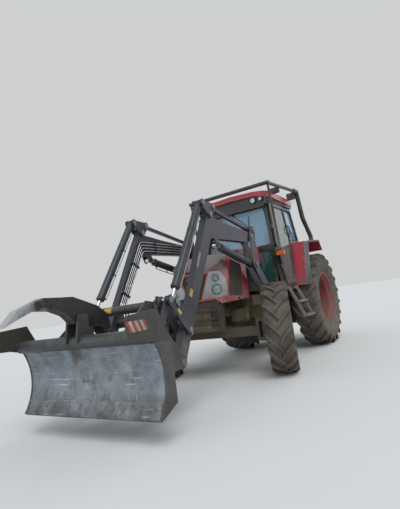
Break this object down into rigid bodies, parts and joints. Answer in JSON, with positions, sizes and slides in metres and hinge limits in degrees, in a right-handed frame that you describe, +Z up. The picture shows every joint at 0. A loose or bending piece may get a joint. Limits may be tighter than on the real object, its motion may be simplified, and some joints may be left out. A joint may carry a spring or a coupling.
{
  "type": "forestry tractor with log blade and claw loader",
  "caption": "Forestry tractor for skidding logs: guarded cab, self-levelling front loader with a log blade and hooked claw, steered front wheels, and a rear cable winch with a log plate.",
  "frame": {"origin": "middle of the length and width at floor level", "axes": "+Z up, the front faces -Y, +X to the machine's left"},
  "size_m": [2.4404, 6.55, 2.819],
  "materials": {
    "red_paint": "satin",
    "black_paint": "satin",
    "navy_paint": "satin",
    "casting": "matte",
    "worn_steel": "worn",
    "chrome_rod": "polished",
    "tyre": "matte",
    "glass": "clear",
    "trim_plastic": "matte"
  },
  "bodies": {
    "chassis": {"chassis": "casting", "engine_block": "casting", "front_axle": "casting", "cab_frame": "black_paint", "cab_side_l": "black_paint", "cab_side_r": "black_paint", "cab_top": "black_paint", "cab_glass": "glass", "roof": "red_paint", "interior": "trim_plastic", "fender_l": "red_paint", "fender_r": "red_paint", "fender_edges": "trim_plastic", "steps": "black_paint", "work_lamps": "trim_plastic", "nose_cover": "black_paint", "guard_frame": "black_paint", "exhaust": "black_paint", "masts": "navy_paint", "winch": "black_paint", "log_plate": "worn_steel"},
    "knuckle_l": {"knuckle_l": "casting"},
    "knuckle_r": {"knuckle_r": "casting"},
    "wheel_fl": {"wheel_fl": "tyre", "rim_fl": "red_paint"},
    "wheel_fr": {"wheel_fr": "tyre", "rim_fr": "red_paint"},
    "wheel_rl": {"wheel_rl": "tyre", "rim_rl": "red_paint"},
    "wheel_rr": {"wheel_rr": "tyre", "rim_rr": "red_paint"},
    "hood": {"hood": "red_paint", "grille": "black_paint", "headlights": "trim_plastic"},
    "door_l": {"door_l": "black_paint", "door_glass_l": "glass"},
    "door_r": {"door_r": "black_paint", "door_glass_r": "glass"},
    "tool": {"tool_frame": "worn_steel", "blade": "worn_steel"},
    "claw": {"claw": "worn_steel"},
    "booms": {"booms": "navy_paint"},
    "level_rods": {"level_rods": "navy_paint"},
    "cranks": {"cranks": "navy_paint"},
    "crank_pins": {"crank_pins": "chrome_rod"},
    "tilt_barrels": {"tilt_barrels": "navy_paint"},
    "tilt_rods": {"tilt_rods": "chrome_rod"},
    "lift_barrels": {"lift_barrels": "navy_paint"},
    "lift_rods": {"lift_rods": "chrome_rod"},
    "lever_pins": {"lever_pins": "chrome_rod"},
    "levers": {"levers": "navy_paint"},
    "link_pins": {"link_pins": "chrome_rod"},
    "links": {"links": "navy_paint"},
    "tool_pins": {"tool_pins": "chrome_rod"},
    "claw_barrel": {"claw_barrel": "navy_paint"},
    "claw_rod": {"claw_rod": "chrome_rod"},
    "drum_l": {"drum_l": "worn_steel"},
    "drum_r": {"drum_r": "worn_steel"}
  },
  "joints": [
    {"name": "steering", "type": "hinge", "parent": "chassis", "child": "knuckle_l", "pos_m": [0.715, -0.145, 0.58], "axis": [0, 0, 1], "range_deg": [-48, 10]},
    {"name": "steering_right", "type": "hinge", "parent": "chassis", "child": "knuckle_r", "pos_m": [-0.715, -0.145, 0.58], "axis": [0, 0, 1], "range_deg": [-48.2, 10.2]},
    {"name": "roll_fl", "type": "hinge", "parent": "knuckle_l", "child": "wheel_fl", "pos_m": [0.87945, -0.08515, 0.58], "axis": [0.9397, 0.342, 0], "continuous": true},
    {"name": "roll_fr", "type": "hinge", "parent": "knuckle_r", "child": "wheel_fr", "pos_m": [-0.87945, -0.20485, 0.58], "axis": [0.9397, 0.342, 0], "continuous": true},
    {"name": "roll_rl", "type": "hinge", "parent": "chassis", "child": "wheel_rl", "pos_m": [0.775, 2.155, 0.795], "axis": [1, 0, 0], "continuous": true},
    {"name": "roll_rr", "type": "hinge", "parent": "chassis", "child": "wheel_rr", "pos_m": [-0.775, 2.155, 0.795], "axis": [1, 0, 0], "continuous": true},
    {"name": "boom_lift", "type": "hinge", "parent": "chassis", "child": "booms", "pos_m": [0, 0.11, 1.845], "axis": [-1, 0, 0], "range_deg": [-5, 60]},
    {"name": "level_rods_turn", "type": "hinge", "parent": "chassis", "child": "level_rods", "pos_m": [0, 0.2, 1.95], "axis": [-1, 0, 0], "range_deg": [-5.2, 60.2]},
    {"name": "lift_barrels_turn", "type": "hinge", "parent": "chassis", "child": "lift_barrels", "pos_m": [0, 0.155, 1.45], "axis": [-1, 0, 0], "range_deg": [-4.16, 47.67]},
    {"name": "lift_rods_slide", "type": "slide", "parent": "lift_barrels", "child": "lift_rods", "axis": [0, -0.9719, 0.2356], "range_m": [-0.02754, 0.31948]},
    {"name": "cranks_turn", "type": "hinge", "parent": "booms", "child": "cranks", "pos_m": [0, -0.955, 2.05], "axis": [1, 0, 0], "range_deg": [-5.2, 60.2]},
    {"name": "crank_pins_turn", "type": "hinge", "parent": "cranks", "child": "crank_pins", "pos_m": [0, -1.095, 2.175], "axis": [-1, 0, 0], "range_deg": [-5.55, 64.46]},
    {"name": "tilt_barrels_turn", "type": "hinge", "parent": "crank_pins", "child": "tilt_barrels", "pos_m": [0, -1.095, 2.175], "axis": [-1, 0, 0], "range_deg": [-1.22, 2.75]},
    {"name": "tilt_rods_slide", "type": "slide", "parent": "tilt_barrels", "child": "tilt_rods", "axis": [0, -0.5819, -0.8132], "range_m": [-0.10992, 0.27331]},
    {"name": "lever_pins_turn", "type": "hinge", "parent": "booms", "child": "lever_pins", "pos_m": [0, -1.715, 0.79], "axis": [1, 0, 0], "range_deg": [-2.85, 31.98]},
    {"name": "levers_turn", "type": "hinge", "parent": "lever_pins", "child": "levers", "pos_m": [0, -1.715, 0.79], "axis": [-1, 0, 0], "range_deg": [-50.2, 20.2]},
    {"name": "link_pins_turn", "type": "hinge", "parent": "levers", "child": "link_pins", "pos_m": [0, -1.975, 1.11], "axis": [1, 0, 0], "range_deg": [-50.2, 20.2]},
    {"name": "links_turn", "type": "hinge", "parent": "link_pins", "child": "links", "pos_m": [0, -1.975, 1.11], "axis": [-1, 0, 0], "range_deg": [-2.85, 31.98]},
    {"name": "tool_pins_turn", "type": "hinge", "parent": "booms", "child": "tool_pins", "pos_m": [0, -1.875, 0.51], "axis": [1, 0, 0], "range_deg": [-2.85, 31.98]},
    {"name": "tool_tilt", "type": "hinge", "parent": "tool_pins", "child": "tool", "pos_m": [0, -1.875, 0.51], "axis": [-1, 0, 0], "range_deg": [-50, 20]},
    {"name": "claw_grip", "type": "hinge", "parent": "tool", "child": "claw", "pos_m": [0, -2.565, 1.06], "axis": [1, 0, 0], "range_deg": [-8, 45]},
    {"name": "claw_barrel_turn", "type": "hinge", "parent": "tool", "child": "claw_barrel", "pos_m": [0, -2.26, 0.4], "axis": [-1, 0, 0], "range_deg": [-0.68, 2.91]},
    {"name": "claw_rod_slide", "type": "slide", "parent": "claw_barrel", "child": "claw_rod", "axis": [0, 0.04, 0.9992], "range_m": [-0.05032, 0.27845]},
    {"name": "hood_lid", "type": "hinge", "parent": "chassis", "child": "hood", "pos_m": [0, 0.843, 1.748], "axis": [-1, 0, 0], "range_deg": [0, 50]},
    {"name": "door_l_swing", "type": "hinge", "parent": "chassis", "child": "door_l", "pos_m": [0.715, 0.871, 1.08], "axis": [0.0872, 0, -0.9962], "range_deg": [0, 75]},
    {"name": "door_r_swing", "type": "hinge", "parent": "chassis", "child": "door_r", "pos_m": [-0.715, 0.871, 1.08], "axis": [0.0872, 0, 0.9962], "range_deg": [0, 75]},
    {"name": "drum_l_turn", "type": "hinge", "parent": "chassis", "child": "drum_l", "pos_m": [0.215, 2.715, 0.9], "axis": [1, 0, 0], "continuous": true},
    {"name": "drum_r_turn", "type": "hinge", "parent": "chassis", "child": "drum_r", "pos_m": [-0.215, 2.715, 0.9], "axis": [1, 0, 0], "continuous": true}
  ],
  "couplings": [
    {"joint": "steering_right", "follows": "steering", "ratio": 1},
    {"joint": "level_rods_turn", "follows": "boom_lift", "ratio": 1},
    {"joint": "lift_barrels_turn", "follows": "boom_lift", "ratio": 0.7911},
    {"joint": "lift_rods_slide", "follows": "boom_lift", "m_per_rad": 0.30413},
    {"joint": "cranks_turn", "follows": "boom_lift", "ratio": 1},
    {"joint": "crank_pins_turn", "follows": "boom_lift", "ratio": 1.071},
    {"joint": "tilt_barrels_turn", "follows": "tool_tilt", "ratio": -0.0511},
    {"joint": "tilt_rods_slide", "follows": "tool_tilt", "m_per_rad": -0.31204},
    {"joint": "lever_pins_turn", "follows": "boom_lift", "ratio": 0.5297},
    {"joint": "levers_turn", "follows": "tool_tilt", "ratio": 1},
    {"joint": "link_pins_turn", "follows": "tool_tilt", "ratio": 1},
    {"joint": "links_turn", "follows": "boom_lift", "ratio": 0.5297},
    {"joint": "tool_pins_turn", "follows": "boom_lift", "ratio": 0.5297},
    {"joint": "claw_barrel_turn", "follows": "claw_grip", "ratio": 0.0602},
    {"joint": "claw_rod_slide", "follows": "claw_grip", "m_per_rad": 0.35326}
  ]
}
